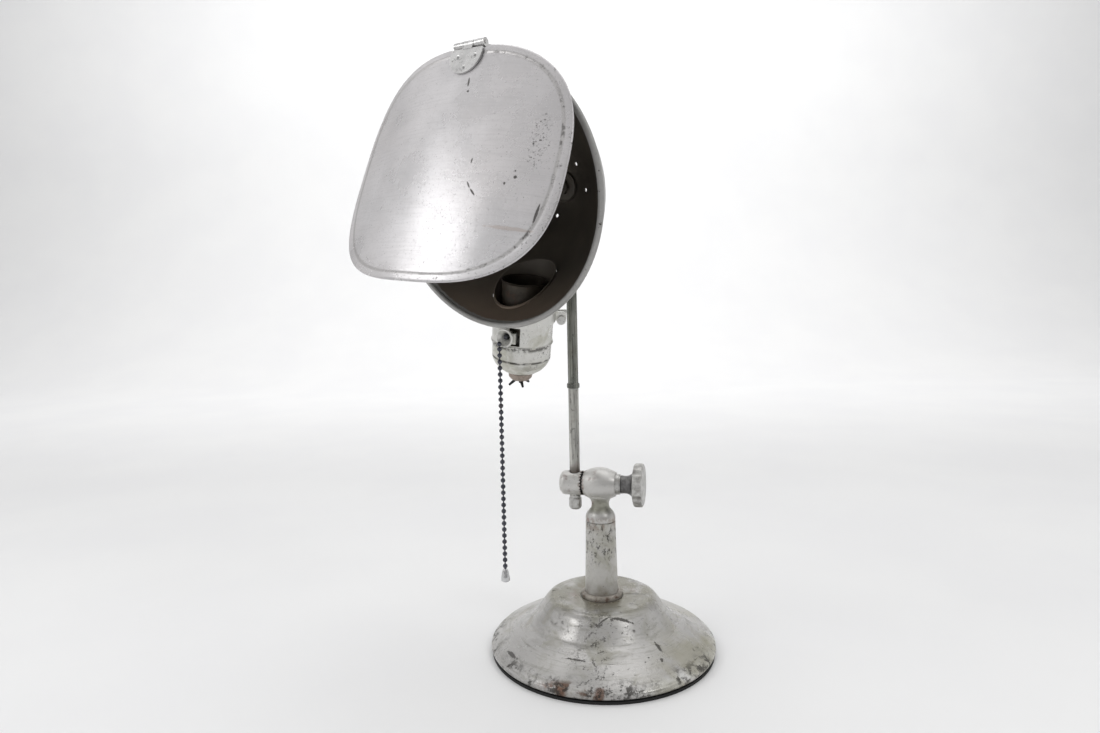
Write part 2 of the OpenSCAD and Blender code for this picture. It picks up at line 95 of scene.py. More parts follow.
turn = Matrix.Rotation(math.radians(CAMERA_HEADING), 4, "Z")
pitch = Matrix.Rotation(math.radians(90 - CAMERA_DOWN), 4, "X")
roll = Matrix.Rotation(math.radians(CAMERA_ROLL), 4, "Z")
camera = bpy.data.objects.new("camera", bpy.data.cameras.new("camera"))
bpy.context.collection.objects.link(camera)
camera.data.sensor_width = SENSOR_WIDTH
camera.data.lens = LENS
camera.data.clip_start = 0.01
camera.matrix_world = Matrix.Translation(CAMERA_AT) @ turn @ pitch @ roll
bpy.context.scene.camera = camera


def from_camera(x, y, z):
    """A place or direction whose y runs level away from the camera, given in the frame."""
    return turn.to_3x3() @ Vector((x, y, z))


# ---------- node material writing ----------
class Finish:
    """Builds one procedural material. Its positions are in the frame."""

    def __init__(self, name, metallic=0.0, specular=0.5):
        self.material = bpy.data.materials.new(name)
        self.material.use_nodes = True
        self.tree = self.material.node_tree
        self.shader = self.tree.nodes["Principled BSDF"]
        self.shader.inputs["Metallic"].default_value = metallic
        self.shader.inputs["Specular IOR Level"].default_value = specular
        self.where = self.tree.nodes.new("ShaderNodeTexCoord").outputs["Object"]

    def put(self, socket, value):
        if isinstance(value, bpy.types.NodeSocket):
            self.tree.links.new(value, socket)
        elif isinstance(value, tuple) and len(value) == 3 and socket.type == "RGBA":
            socket.default_value = (*value, 1)
        else:
            socket.default_value = value

    def op(self, kind, a, b=0.0):
        n = self.tree.nodes.new("ShaderNodeMath")
        n.operation = kind
        self.put(n.inputs[0], a)
        self.put(n.inputs[1], b)
        return n.outputs[0]

    def mul(self, *values):
        out = values[0]
        for v in values[1:]:
            out = self.op("MULTIPLY", out, v)
        return out

    def most(self, *values):
        out = values[0]
        for v in values[1:]:
            out = self.op("MAXIMUM", out, v)
        return out

    def across(self, a, b):
        """Length of the diagonal over two lengths at right angles."""
        return self.op("SQRT", self.op("ADD", self.mul(a, a), self.mul(b, b)))

    def step(self, value, low, high, to_low=0.0, to_high=1.0):
        """A smooth step from to_low at low to to_high at high; low may be the larger."""
        n = self.tree.nodes.new("ShaderNodeMapRange")
        n.interpolation_type = "SMOOTHSTEP"
        self.put(n.inputs["Value"], value)
        n.inputs["From Min"].default_value = low
        n.inputs["From Max"].default_value = high
        n.inputs["To Min"].default_value = to_low
        n.inputs["To Max"].default_value = to_high
        return n.outputs["Result"]

    def vec(self, kind, a, b):
        n = self.tree.nodes.new("ShaderNodeVectorMath")
        n.operation = kind
        self.put(n.inputs[0], a)
        self.put(n.inputs[1], b if isinstance(b, bpy.types.NodeSocket) else tuple(b))
        return n.outputs["Value" if kind in ("DOT_PRODUCT", "LENGTH") else "Vector"]

    def along(self, origin, direction):
        """Distance from origin, measured along direction."""
        return self.vec("DOT_PRODUCT", self.vec("SUBTRACT", self.where, origin), direction)

    def reach(self, centre, weights=(1, 1, 1)):
        """Distance from centre, with each direction weighted."""
        off = self.vec("MULTIPLY", self.vec("SUBTRACT", self.where, centre), weights)
        return self.vec("LENGTH", off, ORIGIN)

    def noise_at(self, place, scale, detail, rough, bend=0.0):
        n = self.tree.nodes.new("ShaderNodeTexNoise")
        self.put(n.inputs["Vector"], place)
        n.inputs["Scale"].default_value = scale
        n.inputs["Detail"].default_value = detail
        n.inputs["Roughness"].default_value = rough
        n.inputs["Distortion"].default_value = bend
        return n.outputs["Fac"]

    def noise(self, scale, detail=4.0, rough=0.55, stretch=(1, 1, 1), shift=(0, 0, 0), bend=0.0):
        place = self.vec("MULTIPLY", self.vec("ADD", self.where, shift), stretch)
        return self.noise_at(place, scale, detail, rough, bend)

    def patches(self, low, high, *which, **more):
        """Noise cut into soft patches: 0 where it is below low, 1 above high."""
        return self.step(self.noise(*which, **more), low, high)

    def lines(self, along, over, scale, detail, rough):
        """Noise over two lengths of the caller's, so that it can run in lines or rings."""
        place = self.tree.nodes.new("ShaderNodeCombineXYZ")
        self.put(place.inputs[0], along)
        self.put(place.inputs[1], over)
        return self.noise_at(place.outputs[0], scale, detail, rough)

    def mix(self, factor, a, b):
        n = self.tree.nodes.new("ShaderNodeMix")
        n.data_type = "RGBA"
        self.put(n.inputs[0], factor)
        self.put(n.inputs[6], a)
        self.put(n.inputs[7], b)
        return n.outputs[2]

    def edges(self, radius):
        """1 on sharp edges within that radius, 0 on flats."""
        bevel = self.tree.nodes.new("ShaderNodeBevel")
        bevel.inputs["Radius"].default_value = radius
        bevel.samples = 4
        flat = self.tree.nodes.new("ShaderNodeNewGeometry").outputs["Normal"]
        return self.step(self.vec("DOT_PRODUCT", bevel.outputs[0], flat), 0.97, 0.78)

    def finish(self, colour, rough, height=None, depth=0.0002):
        self.put(self.shader.inputs["Base Color"], colour)
        self.put(self.shader.inputs["Roughness"], rough)
        if height is not None:
            bump = self.tree.nodes.new("ShaderNodeBump")
            bump.inputs["Strength"].default_value = 0.6
            bump.inputs["Distance"].default_value = depth
            self.put(bump.inputs["Height"], height)
            self.tree.links.new(bump.outputs[0], self.shader.inputs["Normal"])
        return self.material


def shade(c, k):
    return tuple(min(1.0, x * k) for x in c)


DARK = (0.030, 0.026, 0.022)
RUST = (0.115, 0.058, 0.035)
OLIVE = (0.30, 0.29, 0.20)


def paint(
    name,
    base,
    metallic,
    rough,
    chips,
    dirt,
    streaks,
    dirt_colour=OLIVE,
    streak=(1, 1, 1),
    edge=0.0,
    marks=None,
    cover=None,
    seed=0.0,
):
    """Old aluminium paint: mottled tone, fine flake, dirt, nicks, scratches and worn edges.

    chips, dirt and streaks are amounts from 0 to about 1, streak stretches the scratches' noise, and
    edge is how far wear reaches from an edge. marks adds what sits at one place, and cover hides a part.
    """
    f = Finish(name, metallic=metallic, specular=0.45)
    at = (seed, seed * 0.7, seed * 1.3)
    mottle = f.noise(26, 5, 0.6, shift=at)
    flake = f.noise(2600, 2, 0.6)
    grain = f.noise(420, 3, 0.6, shift=at)
    colour = f.mix(f.step(mottle, 0.32, 0.68), shade(base, 0.90), shade(base, 1.07))
    colour = f.mix(f.mul(f.step(grain, 0.45, 0.75), 0.22), colour, shade(base, 0.72))
    colour = f.mix(f.mul(f.step(flake, 0.35, 0.7), 0.12), colour, shade(base, 1.3))
    soil = f.mul(f.patches(0.50, 0.70, 55, 7, 0.66, shift=at, bend=0.6), dirt)
    colour = f.mix(soil, colour, dirt_colour)
    nick = f.mul(
        f.patches(0.645 - 0.03 * chips, 0.665 - 0.03 * chips, 330, 9, 0.72, shift=at),
        f.patches(0.50, 0.60, 31, 3, 0.6, shift=at),
        min(1.0, chips * 1.6),
    )
    scratch = f.mul(
        f.patches(0.665, 0.69, 210, 5, 0.6, stretch=streak, shift=at, bend=0.3),
        f.patches(0.47, 0.60, 40, 3, 0.6, shift=at),
        streaks,
    )
    grit = f.mul(
        f.patches(0.60, 0.66, 980, 5, 0.72, shift=at),
        f.patches(0.40, 0.62, 70, 4, 0.6, shift=at),
        min(1.0, 0.25 + chips * 0.55),
    )
    loss = f.most(nick, scratch, grit)
    if edge:
        loss = f.most(loss, f.mul(f.edges(edge), f.patches(0.35, 0.60, 500, 5, 0.7), 0.85))
    if marks:
        colour, loss = marks(f, colour, loss)
    colour = f.mix(loss, colour, DARK)
    roughness = f.op("ADD", f.step(mottle, 0.3, 0.7, rough - 0.05, rough + 0.07), f.mul(loss, 0.25))
    roughness = f.op("ADD", roughness, f.mul(soil, 0.2))
    height = f.op("SUBTRACT", f.mul(f.op("ADD", f.mul(flake, 0.4), grain), 0.22), f.mul(loss, 0.7))
    if cover:
        colour, roughness, height = cover(f, colour, roughness, height)
    return f.finish(colour, roughness, height, depth=0.00022)


def steel(name, base, metallic, rough, rust, dark, seed, edge=0.0):
    """Tarnished plated steel with dark speckles and rust."""
    f = Finish(name, metallic=metallic)
    at = (seed, -seed, seed * 0.5)
    tone = f.noise(90, 6, 0.65, shift=at)
    speck = f.patches(0.58, 0.64, 700, 6, 0.7, shift=at)
    colour = f.mix(f.step(tone, 0.3, 0.7), shade(base, 0.72), shade(base, 1.12))
    colour = f.mix(f.mul(speck, dark), colour, DARK)
    red = f.mul(f.patches(0.55, 0.68, 130, 7, 0.7, shift=at, bend=0.5), rust)
    colour = f.mix(red, colour, RUST)
    if edge:
        colour = f.mix(f.mul(f.edges(edge), 0.6), colour, shade(base, 1.5))
    roughness = f.op("ADD", f.step(tone, 0.3, 0.7, rough + 0.1, rough - 0.06), f.mul(red, 0.3))
    height = f.op("SUBTRACT", f.mul(tone, 0.3), f.mul(speck, 0.4))
    return f.finish(colour, roughness, height, depth=0.00015)


def plain(name, base, rough, scale, metallic=0.0):
    """Small trim: two-tone noise with matching roughness and a fine bump."""
    f = Finish(name, metallic=metallic)
    n = f.noise(scale, 6, 0.65)
    colour = f.mix(f.step(n, 0.3, 0.7), shade(base, 0.75), shade(base, 1.25))
    return f.finish(colour, f.step(n, 0.3, 0.7, rough - 0.06, rough + 0.1), n)


# ---------- marks that sit at one place ----------
def ellipse(f, centre, ax, ay, hx, hy, ragged=0.25, size=900):
    """A soft-edged patch: centre, two directions across it, half sizes along them."""
    u = f.mul(f.along(centre, ax), 1 / hx)
    v = f.mul(f.along(centre, ay), 1 / hy)
    wobble = f.mul(f.op("SUBTRACT", f.noise(size, 4, 0.6), 0.5), ragged * 4)
    return f.step(f.op("ADD", f.across(u, v), wobble), 1.15, 0.8)


def on_flap(x, z):
    return HINGE + FLAP_SIDE * x + FLAP_UP * z


# dark nicks on the flap: place across and up from the hinge, half sizes, and tilt in radians
FLAP_NICKS = (
    (0.0064, -0.0228, 0.0006, 0.0026, 0.1),
    (0.0076, -0.0280, 0.0008, 0.0006, 0.0),
    (0.0240, -0.0800, 0.0004, 0.0022, 0.60),
    (0.0275, -0.0838, 0.0005, 0.0024, 0.80),
    (0.0634, -0.0916, 0.0007, 0.0052, -0.10),
    (0.0487, -0.0744, 0.0009, 0.0009, 0.0),
    (0.0479, -0.0712, 0.0005, 0.0005, 0.0),
    (0.0439, -0.0781, 0.0006, 0.0008, 0.0),
    (0.0222, -0.0670, 0.0004, 0.0014, 0.0),
)


def flap_border(f, u, w, colour, loss):
    """Painted shade along the hem's inner line, where the hem steps up, with dark chips on the right."""
    cu = f.mul(f.op("ADD", u, -FLAP_X), 1 / FLAP_HALF)
    cv = f.mul(f.op("ADD", w, -FLAP_Z), 2 / FLAP_LENGTH)
    pu = f.op("POWER", f.op("ABSOLUTE", cu), FLAP_POWER)
    pv = f.op("POWER", f.op("ABSOLUTE", cv), FLAP_POWER)
    s = f.op("POWER", f.op("ADD", pu, pv), 1 / FLAP_POWER)  # 0 in the middle, 1 at the edge
    line = f.mul(f.step(s, 0.915, 0.93), f.step(s, 0.955, 0.94))
    rim = f.step(s, 0.935, 0.955)
    right = f.step(u, -0.02, 0.05)
    # painted shade: a darker line along the step at the hem's inner edge
    colour = f.mix(f.mul(line, 0.55), colour, (0.30, 0.29, 0.28))
    loss = f.most(loss, f.mul(line, f.patches(0.50, 0.62, 300, 6, 0.7), right, 0.7))
    loss = f.most(loss, f.mul(rim, f.patches(0.585, 0.64, 420, 7, 0.75), right, 0.75))
    return colour, loss


def flap_marks(f, colour, loss):
    u = f.along(HINGE, FLAP_SIDE)
    w = f.along(HINGE, FLAP_UP)
    # a slow warm and cool blush over the sheet, and painted shade over its top right, where less light
    # falls
    blush = f.patches(0.35, 0.65, 11, 3, 0.5)
    colour = f.mix(f.mul(blush, 0.30), colour, (0.70, 0.655, 0.645))
    # painted shade: the top right of the sheet is darkened as if less light reached it
    dull = f.mul(f.step(u, 0.0, 0.07), f.step(w, -0.11, -0.03), 0.35)
    colour = f.mix(dull, colour, (0.50, 0.49, 0.50))
    colour, loss = flap_border(f, u, w, colour, loss)
    # fine brushing across it
    brushing = f.step(f.lines(f.mul(u, 0.05), w, 900, 4, 0.5), 0.45, 0.70)
    colour = f.mix(f.mul(brushing, 0.22), colour, (0.42, 0.41, 0.41))
    # specks near the right edge, a few everywhere, and a painted reflection edge: a warm darker line low
    # on the right
    cluster = ellipse(f, on_flap(0.0560, -0.0545), FLAP_SIDE, FLAP_UP, 0.0050, 0.0150, 0.3)
    loss = f.most(loss, f.mul(cluster, f.patches(0.575, 0.61, 1000, 4, 0.7), 0.85))
    loss = f.most(loss, f.mul(f.patches(0.655, 0.68, 1250, 3, 0.6), 0.5))
    # painted reflection: the edge of something mirrored in the sheet, drawn as a warm darker line
    reflection_edge = ellipse(f, on_flap(0.0520, -0.1006), FLAP_SIDE, FLAP_UP, 0.0130, 0.0010, 0.25, 300)
    colour = f.mix(f.mul(reflection_edge, 0.5), colour, (0.42, 0.35, 0.31))
    for x, z, hx, hz, tilt in FLAP_NICKS:
        a = FLAP_SIDE * math.cos(tilt) + FLAP_UP * math.sin(tilt)
        b = FLAP_UP * math.cos(tilt) - FLAP_SIDE * math.sin(tilt)
        loss = f.most(loss, f.mul(ellipse(f, on_flap(x, z), a, b, hx, hz, 0.16, 1100), 0.85))
    return colour, loss


# rust spots on the base's front edge: centre and radius
BASE_SPOTS = (((-0.0115, -0.0755, 0.007), 0.0042), ((0.0125, -0.0745, 0.008), 0.0035))

# scratches on the base: centre, direction, half length and half width
BASE_SCRATCHES = (
    ((0.0185, -0.0330, 0.033), (1, 0.30, 0), 0.0065, 0.0006),
    ((0.0080, -0.0370, 0.031), (1, 0.75, 0), 0.0045, 0.0004),
    ((-0.006, -0.0570, 0.017), (1, -0.1, 0), 0.0065, 0.0006),
    ((0.0420, -0.0330, 0.019), (0.6, -0.8, 0), 0.0040, 0.0012),
    ((0.0450, -0.0420, 0.018), (0.5, -0.8, 0), 0.0016, 0.0011),
    ((-0.050, -0.0480, 0.012), (0.7, -0.7, 0), 0.0060, 0.0011),
    ((0.0210, 0.0040, 0.036), (1, 0.1, 0), 0.0060, 0.0007),
)


def base_skirt(f, x, y, z, r, colour, loss):
    """The flange's outer edge and the skirt: chipped all round, with painted shade under the roll, rusty
    in front, and a painted highlight on the right of the roll, where it is also worn bright.
    """
    band = f.step(r, 0.0655, 0.0745)
    low = f.step(z, 0.0085, 0.0045)
    cut = f.patches(0.49, 0.545, 260, 8, 0.74)
    wear = f.mul(f.most(band, low), cut, f.patches(0.41, 0.55, 75, 4, 0.6))
    # painted shade on the underside of the rolled edge, where it turns down to the floor
    under = f.step(z, 0.0034, 0.0022)
    loss = f.most(loss, f.mul(under, 0.8))
    loss = f.most(loss, f.mul(wear, 0.85))
    middle = f.step(f.op("ABSOLUTE", f.op("ADD", x, 0.004)), 0.030, 0.014)
    front = f.mul(f.step(y, -0.0690, -0.0725), middle)
    red = f.mul(front, f.patches(0.47, 0.60, 120, 6, 0.65))
    colour = f.mix(f.mul(red, 0.9), colour, RUST)
    for centre, radius in BASE_SPOTS:
        off = f.op("ADD", f.reach(centre, (1, 1, 0.5)), f.mul(f.noise(400, 5), 0.003))
        spot = f.step(off, radius + 0.002, radius)
        colour = f.mix(f.mul(spot, 0.85), colour, (0.15, 0.075, 0.045))
    # painted highlight on the right of the rolled edge, partly paint worn bright there
    roll_highlight_and_wear = f.mul(
        f.step(z, 0.0105, 0.008),
        f.step(z, 0.0030, 0.0050),
        f.step(x, 0.02, 0.05),
        f.patches(0.42, 0.55, 120, 4),
    )
    colour = f.mix(f.mul(roll_highlight_and_wear, 0.55), colour, (0.80, 0.80, 0.78))
    return colour, loss


def base_rings(f, x, y, r, colour, loss):
    """Fine rings left by years of wiping, cut deeper in places on the flange."""
    rings = f.lines(r, f.mul(f.op("ARCTAN2", y, x), 0.0045), 620, 5, 0.65)
    colour = f.mix(f.mul(f.step(rings, 0.50, 0.64), 0.40), colour, (0.22, 0.215, 0.185))
    flange = f.step(r, 0.046, 0.052)
    deep = f.mul(f.step(rings, 0.665, 0.69), flange, f.patches(0.46, 0.6, 38, 3, 0.6), 0.7)
    return colour, f.most(loss, deep)


def base_stains(f, x, r, colour, loss):
    """Olive staining on the right flange and round the seat, brown round the post's foot."""
    olive = f.mul(f.step(x, 0.030, 0.060), f.patches(0.44, 0.60, 42, 4, 0.6, stretch=(0.5, 1, 1)))
    colour = f.mix(f.mul(olive, 0.45), colour, (0.33, 0.31, 0.20))
    foot = f.mul(f.step(r, 0.0290, 0.0160), f.patches(0.38, 0.58, 95, 6, 0.65))
    colour = f.mix(f.mul(foot, 0.7), colour, (0.17, 0.11, 0.08))
    seat = f.mul(f.step(r, 0.0400, 0.0330), f.patches(0.30, 0.56, 60, 5, 0.6))
    colour = f.mix(f.mul(seat, 0.75), colour, (0.215, 0.205, 0.150))
    under_ring = f.step(r, 0.0152, 0.0142)
    return colour, f.most(loss, f.mul(under_ring, 0.9))


def base_marks(f, colour, loss):
    x = f.along(ORIGIN, X)
    y = f.along(ORIGIN, Y)
    z = f.along(ORIGIN, Z)
    r = f.across(x, y)
    colour, loss = base_skirt(f, x, y, z, r, colour, loss)
    colour, loss = base_rings(f, x, y, r, colour, loss)
    colour, loss = base_stains(f, x, r, colour, loss)
    # rubbed shoulder with small dark nicks, denser in front of the post
    dome = f.mul(f.step(r, 0.050, 0.040), f.step(r, 0.020, 0.026))
    small = f.patches(0.575, 0.60, 420, 8, 0.75, stretch=(0.6, 1, 1))
    loss = f.most(loss, f.mul(dome, small, f.patches(0.42, 0.55, 34, 3), 0.8))
    middle = f.step(f.op("ABSOLUTE", f.op("ADD", x, -0.004)), 0.016, 0.004)
    near = f.mul(middle, f.step(y, -0.02, -0.035))
    loss = f.most(loss, f.mul(near, f.patches(0.57, 0.60, 290, 7, 0.72), 0.7))
    for centre, direction, half_length, half_width in BASE_SCRATCHES:
        d = Vector(direction).normalized()
        side = Vector((-d.y, d.x, 0))
        scratch = ellipse(f, Vector(centre), d, side, half_length, half_width, 0.6, 700)
        loss = f.most(loss, f.mul(scratch, 0.8))
    return colour, loss


def post_marks(f, colour, loss):
    """Brown at the foot, a pitted shaft and a stained seam under the head."""
    z = f.along(ORIGIN, Z)
    foot = f.mul(f.step(z, 0.050, 0.038), f.patches(0.38, 0.62, 110, 5, 0.6))
    colour = f.mix(f.mul(foot, 0.55), colour, (0.17, 0.115, 0.08))
    worn = f.mul(
        f.step(z, 0.050, 0.070),
        f.patches(0.54, 0.58, 400, 7, 0.75, stretch=(1, 1, 0.6)),
        f.patches(0.46, 0.56, 75, 3, 0.6),
    )
    below_head = f.step(z, HEAD_Z + 0.0009, HEAD_Z - 0.0006)
    loss = f.most(loss, f.mul(worn, below_head, 0.8))
    seam = f.mul(
        f.step(z, HEAD_Z - 0.0071, HEAD_Z - 0.0016),
        f.step(z, HEAD_Z + 0.0059, HEAD_Z + 0.0009),
        f.patches(0.42, 0.58, 210, 6, 0.65),
    )
    colour = f.mix(f.mul(seam, 0.6), colour, (0.20, 0.135, 0.09))
    return colour, loss


def clamp_marks(f, colour, loss):
    """Brown dirt round the teeth, painted shade in the gap between them, an olive neck and a reddish
    stain.
    """
    x = f.along(ORIGIN, X)
    z = f.along(ORIGIN, Z)
    teeth = f.mul(
        f.step(x, TEETH_X - 0.0030, TEETH_X - 0.0010),
        f.step(x, TEETH_X + 0.0035, TEETH_X + 0.0015),
    )
    dirt = f.mul(teeth, f.patches(0.46, 0.60, 320, 6, 0.7), 0.6)
    colour = f.mix(dirt, colour, (0.20, 0.13, 0.085))
    # painted shade in the recess between the teeth, inside the outer face of barrel and head
    core = f.across(f.along(ORIGIN, Y), f.along(CLAMP_AT, Z))
    gap = f.mul(
        f.step(x, TEETH_X - 0.00145, TEETH_X - 0.0012),
        f.step(x, TEETH_X + 0.0016, TEETH_X + 0.00135),
        f.step(core, 0.00812, 0.0079),
    )
    loss = f.most(loss, f.mul(gap, 0.95))
    neck = f.mul(
        f.step(z, CLAMP_Z - 0.0063, CLAMP_Z - 0.0123),
        f.step(z, HEAD_Z + 0.0054, HEAD_Z + 0.0089),
        0.75,
    )
    colour = f.mix(neck, colour, (0.235, 0.235, 0.175))
    stain = f.mul(f.patches(0.55, 0.66, 150, 5, 0.6), f.step(x, 0.002, -0.006), 0.6)
    colour = f.mix(stain, colour, (0.20, 0.12, 0.11))
    return post_marks(f, colour, loss)


def socket_marks(f, colour, loss):
    """Olive below, and dark dirt in the shell's seam and in the cap's crease."""
    low = f.step(f.along(ORIGIN, Z), 0.203, 0.190)
    colour = f.mix(f.mul(low, f.patches(0.34, 0.60, 90, 5, 0.6), 0.65), colour, OLIVE)
    rise = f.along(HOLDER_AT, HOLDER_AXIS)
    seam = f.mul(
        f.step(rise, SHELL_SEAM - 0.0027, SHELL_SEAM - 0.0005),
        f.step(rise, SHELL_SEAM + 0.0020, SHELL_SEAM + 0.0003),
    )
    loss = f.most(loss, f.mul(seam, f.patches(0.40, 0.54, 300, 5, 0.7), 0.8))
    crease = f.mul(
        f.step(rise, CAP_CREASE - 0.0012, CAP_CREASE - 0.0001),
        f.step(rise, CAP_CREASE + 0.0012, CAP_CREASE + 0.0002),
    )
    loss = f.most(loss, f.mul(crease, f.patches(0.42, 0.55, 240, 5, 0.7), 0.8))
    return colour, loss


# ---------- dark inside of the bowl ----------
def lacquer(f):
    """Dark heat-browned lacquer, with painted light: lighter and browner towards the lowest part of the
    bowl, where light falls inside.
    """
    height = f.along(BOWL_SEAT + BOWL_AXIS * BOWL_DEPTH, Z)
    cloud = f.noise(24, 6, 0.62)
    colour = f.mix(f.step(cloud, 0.3, 0.7), (0.078, 0.070, 0.058), (0.128, 0.111, 0.090))
    # painted light: the lower inside of the bowl is lightened towards brown, as if lit
    brown = f.mul(f.step(f.op("ADD", height, f.mul(cloud, 0.02)), -0.026, -0.066), 0.9)
    colour = f.mix(brown, colour, (0.26, 0.198, 0.150))
    fleck = f.mul(f.patches(0.64, 0.67, 480, 6, 0.7), f.patches(0.5, 0.6, 50, 2))
    colour = f.mix(f.mul(fleck, 0.5), colour, (0.10, 0.09, 0.075))
    return colour, f.step(cloud, 0.3, 0.7, 0.40, 0.56), f.mul(f.noise(900, 4, 0.6), 0.5)


def bowl_inside():
    f = Finish("holder_inside_dark", specular=0.4)
    return f.finish(*lacquer(f), depth=0.00015)


def bowl_depths(f):
    """Depth along the bowl's axis, radius from it, and distance in from the outer face."""
    deep = f.along(BOWL_SEAT, BOWL_AXIS)
    whole = f.reach(BOWL_SEAT)
    r = f.op("SQRT", f.op("SUBTRACT", f.mul(whole, whole), f.mul(deep, deep)))
    plunge = BOWL_DEPTH / (BOWL_R**2 - BOWL_FLAT_R**2)
    past_flat = f.op("MAXIMUM", f.op("SUBTRACT", f.mul(r, r), BOWL_FLAT_R**2), 0.0)
    sink = f.mul(past_flat, plunge)
    slope = f.mul(r, 2 * plunge)
    run = f.op("SQRT", f.op("ADD", f.mul(slope, slope), 1.0))
    return deep, r, f.op("DIVIDE", f.op("SUBTRACT", deep, sink), run)


def covered(f, mask, colour, roughness, height):
    """The lacquer where mask is 1, and the looks given where it is 0."""
    dark, dark_rough, fine = lacquer(f)
    rest = f.op("SUBTRACT", 1.0, mask)
    colour = f.mix(mask, colour, dark)
    roughness = f.op("ADD", f.mul(roughness, rest), f.mul(dark_rough, mask))
    return colour, roughness, f.op("ADD", f.mul(height, rest), f.mul(fine, mask))


def bowl_cover(f, *looks):
    """Dark lacquer on the bowl's hollow side, up to the bead."""
    deep, r, off = bowl_depths(f)
    ragged = f.mul(f.op("SUBTRACT", f.noise(260, 5, 0.65), 0.5), 0.0022)
    near_bead = f.step(f.op("ADD", deep, ragged), BEAD_DEPTH - 0.0008, BEAD_DEPTH)
    bead = f.mul(near_bead, f.step(r, BEAD_R - 0.0015, BEAD_R - 0.0009))
    lip = f.mul(f.step(r, BEAD_R, BEAD_R + 0.0004), f.step(deep, BEAD_DEPTH - 0.0003, BEAD_DEPTH + 0.0003))
    bead = f.most(bead, lip)
    hollow = f.step(off, 0.00012, 0.00034)
    return covered(f, f.mul(hollow, f.op("SUBTRACT", 1.0, bead)), *looks)


def holder_cover(f, *looks):
    """The holder's edge that stands inside the bowl is dark like the bowl."""
    return covered(f, f.step(bowl_depths(f)[2], -0.0002, 0.0001), *looks)


# ---------- clamp knob and rods ----------
def knob_finish():
    """A dark stem, a worn pale disc and a dirty groove in the disc's face."""
    f = Finish("knob_dark_steel", metallic=0.55)
    x = f.along(ORIGIN, X)
    r = f.across(f.along(ORIGIN, Y), f.along(CLAMP_AT, Z))
    disc = f.step(x, KNOB_X + 0.0026, KNOB_X + 0.0040)
    n = f.noise(180, 7, 0.7)
    colour = f.mix(f.step(n, 0.35, 0.65), (0.11, 0.108, 0.108), (0.20, 0.197, 0.195))
    worn = f.mix(f.step(n, 0.40, 0.60), (0.36, 0.35, 0.335), (0.60, 0.595, 0.575))
    colour = f.mix(f.mul(disc, 0.95), colour, worn)
    ring = f.mul(f.step(r, 0.0140, 0.0126), f.step(r, 0.0098, 0.0106))
    front, back = f.step(x, KNOB_X + 0.0034, KNOB_X + 0.0042), f.step(x, KNOB_X + 0.0090, KNOB_X + 0.0080)
    groove = f.mul(ring, front, back)
    groove = f.mul(groove, f.patches(0.42, 0.54, 240, 5))
    colour = f.mix(f.mul(groove, 0.7), colour, DARK)
    return f.finish(colour, f.step(n, 0.3, 0.7, 0.33, 0.5), n)


def rod_finish(name, base, rust, seed):
    """Steel rod with long dark and bright streaks, partly painted reflection stripes, with specks, rust
    and a dark ring where it enters the clamp.
    """
    f = Finish(name, metallic=0.85)
    z = f.along(ORIGIN, Z)
    n = f.noise(120, 6, 0.65, stretch=(1, 1, 0.25), shift=(seed, 0, seed))
    speck = f.patches(0.56, 0.62, 420, 7, 0.72, stretch=(1, 1, 0.6))
    colour = f.mix(f.step(n, 0.35, 0.65), shade(base, 0.72), shade(base, 1.2))
    colour = f.mix(f.mul(speck, 0.65), colour, DARK)
    # long streaks: partly the steel's own grain, partly painted reflection, dark and bright stripes along
    # the rod
    streak = f.noise(620, 4, 0.6, stretch=(1, 1, 0.03), shift=(seed, seed, 0))
    colour = f.mix(f.mul(f.step(streak, 0.50, 0.60), 0.65), colour, shade(base, 0.38))
    colour = f.mix(f.mul(f.step(streak, 0.43, 0.36), 0.6), colour, shade(base, 1.7))
    red = f.mul(f.patches(0.52, 0.66, 95, 6, 0.65), rust)
    colour = f.mix(red, colour, RUST)
    foot = f.mul(
        f.step(z, CLAMP_Z + 0.0152, CLAMP_Z + 0.0077),
        f.step(z, CLAMP_Z + 0.0057, CLAMP_Z + 0.0067),
        0.8,
    )
    colour = f.mix(foot, colour, (0.055, 0.035, 0.025))
    height = f.op("SUBTRACT", n, f.mul(speck, 0.6))
    return f.finish(colour, f.step(n, 0.3, 0.7, 0.24, 0.38), height)


